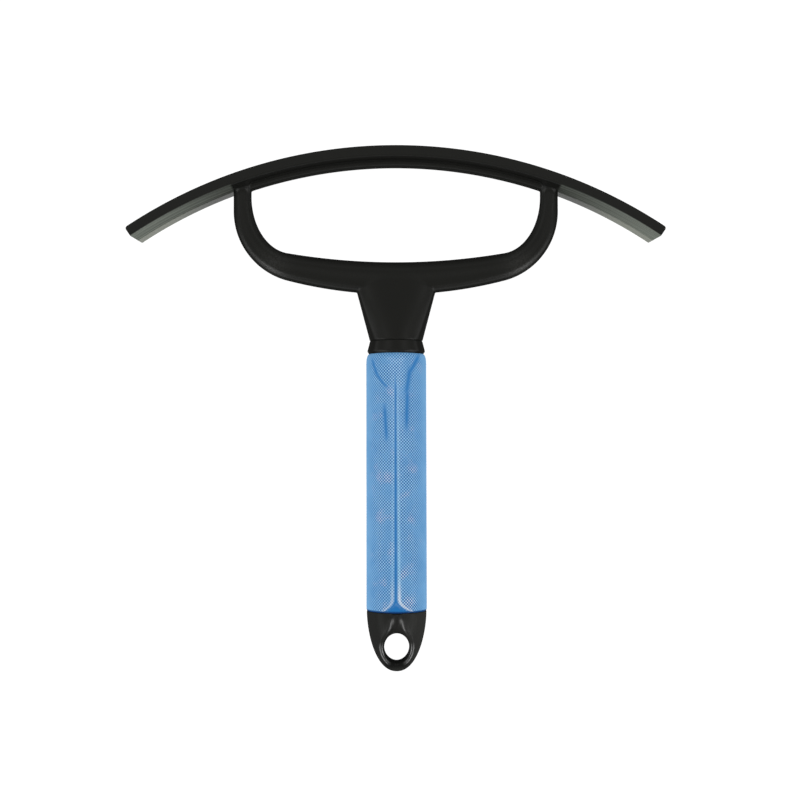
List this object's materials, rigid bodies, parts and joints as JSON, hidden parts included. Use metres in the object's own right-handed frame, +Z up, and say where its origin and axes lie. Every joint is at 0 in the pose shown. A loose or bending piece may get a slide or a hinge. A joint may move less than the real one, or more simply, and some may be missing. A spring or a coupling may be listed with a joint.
{
  "type": "sweat scraper",
  "caption": "Horse sweat scraper with a bowed rubber-edged bar on a moulded D-shaped loop, a padded gel grip and an end cap with a hanging hole.",
  "frame": {"origin": "middle of the footprint on the surface that the scraper lies on", "axes": "+X along the bowed blade, +Y along the handle towards the blade, +Z up through the front face"},
  "size_m": [0.2664, 0.2607, 0.0304],
  "materials": {
    "frame_plastic": "satin moulded, fine grain",
    "blade_rubber": "matte extruded, fine lines along its length",
    "collar_plastic": "satin",
    "tube_plastic": "plain extruded",
    "liner_film": "thin film",
    "gel": "soft translucent gel",
    "grip_skin": "glossy skin with a fine diamond emboss",
    "cap_plastic": "glossy moulded"
  },
  "bodies": {
    "root": {"head_frame": "frame_plastic", "rubber_blade": "blade_rubber", "collar": "collar_plastic", "core_tube": "tube_plastic", "grip_liner": "liner_film", "gel_fill": "gel", "grip_skin": "grip_skin", "end_cap": "cap_plastic"}
  },
  "joints": []
}
